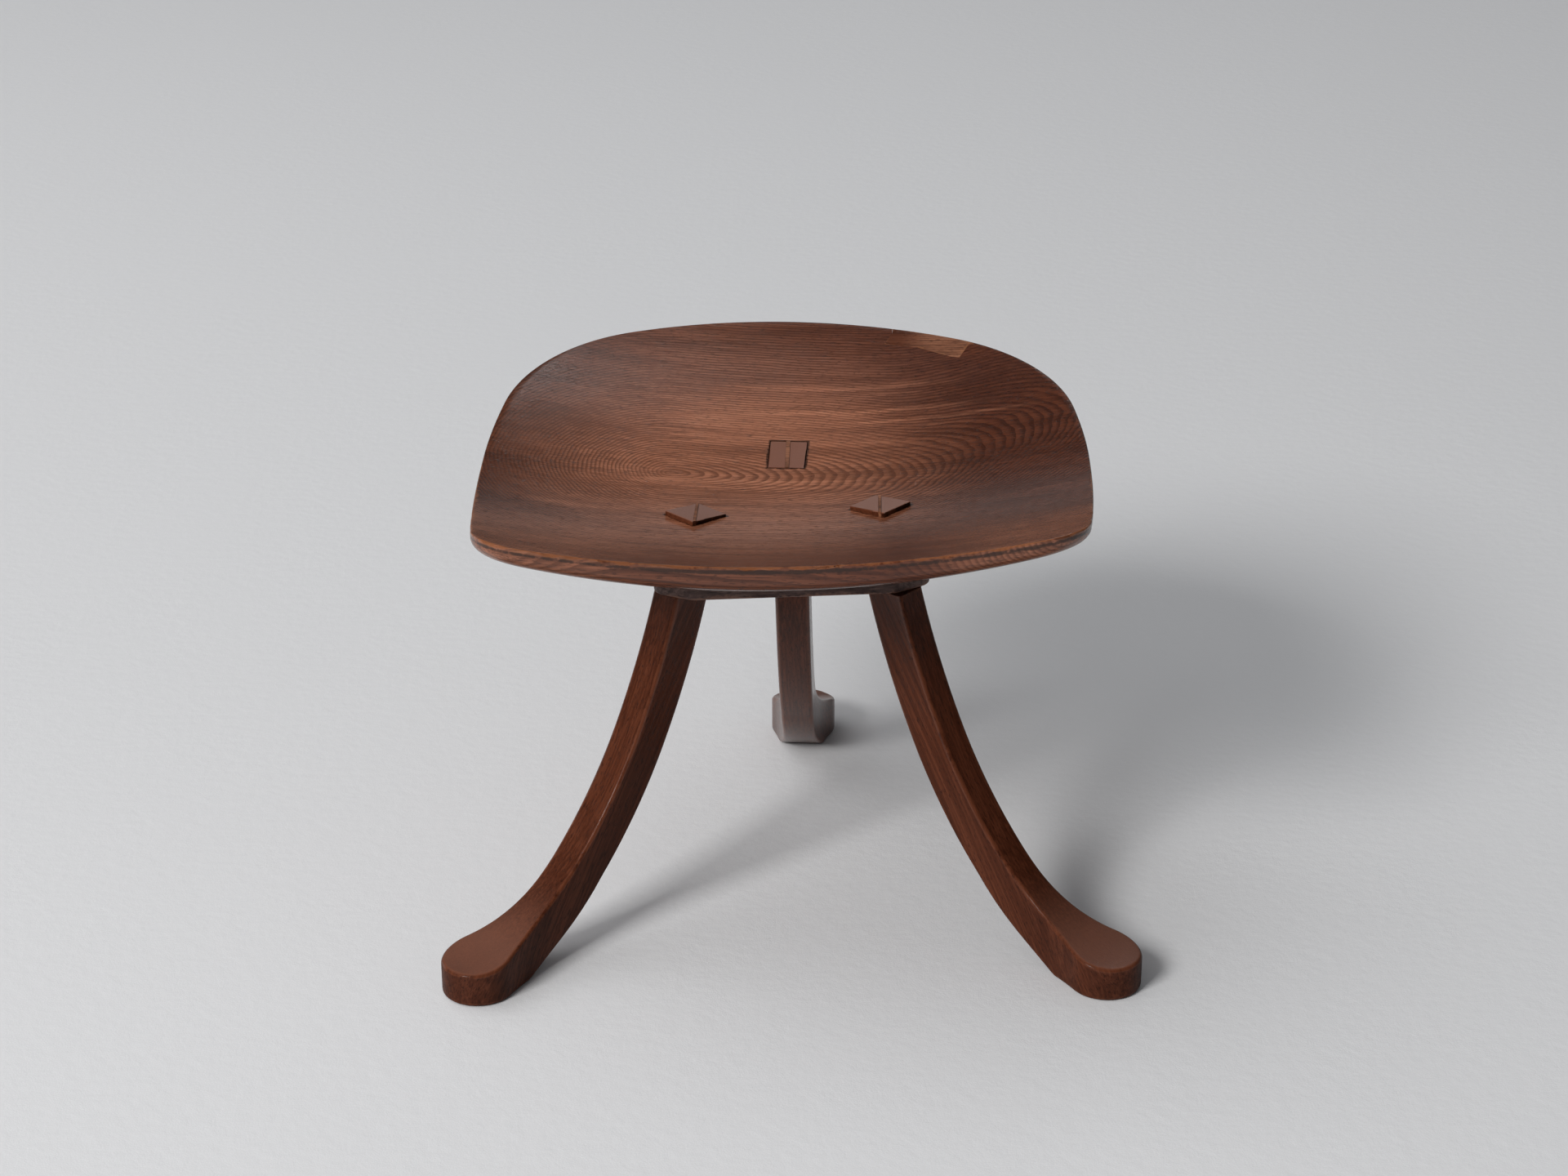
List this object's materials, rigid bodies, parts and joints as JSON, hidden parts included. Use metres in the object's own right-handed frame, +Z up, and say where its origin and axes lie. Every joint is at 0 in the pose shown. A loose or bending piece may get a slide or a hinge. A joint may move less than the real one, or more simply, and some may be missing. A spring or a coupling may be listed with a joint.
{
  "type": "three-legged stool",
  "caption": "Low wooden stool: a wide dished seat on a tapering block, carried by splayed, curved legs with round feet and wedged through tenons.",
  "frame": {"origin": "on the floor, under the middle of the stool's outer box", "axes": "+Z up, +Y towards the back leg and the round back of the seat, -Y towards the straight front edge, +X to the right seen from the front"},
  "size_m": [0.4549, 0.4322, 0.3274],
  "materials": {
    "seat_wood": "worn wax polish",
    "block_wood": "dull, worn",
    "leg_wood": "dark stain, waxed",
    "wedge_wood": "end grain, waxed",
    "patch_wood": "worn wax polish"
  },
  "bodies": {
    "root": {"seat": "seat_wood", "seat_block": "block_wood", "leg_front_left": "leg_wood", "leg_front_right": "leg_wood", "leg_back": "leg_wood", "wedge_front_left": "wedge_wood", "wedge_front_right": "wedge_wood", "wedge_back": "wedge_wood", "rim_patch": "patch_wood"}
  },
  "joints": []
}
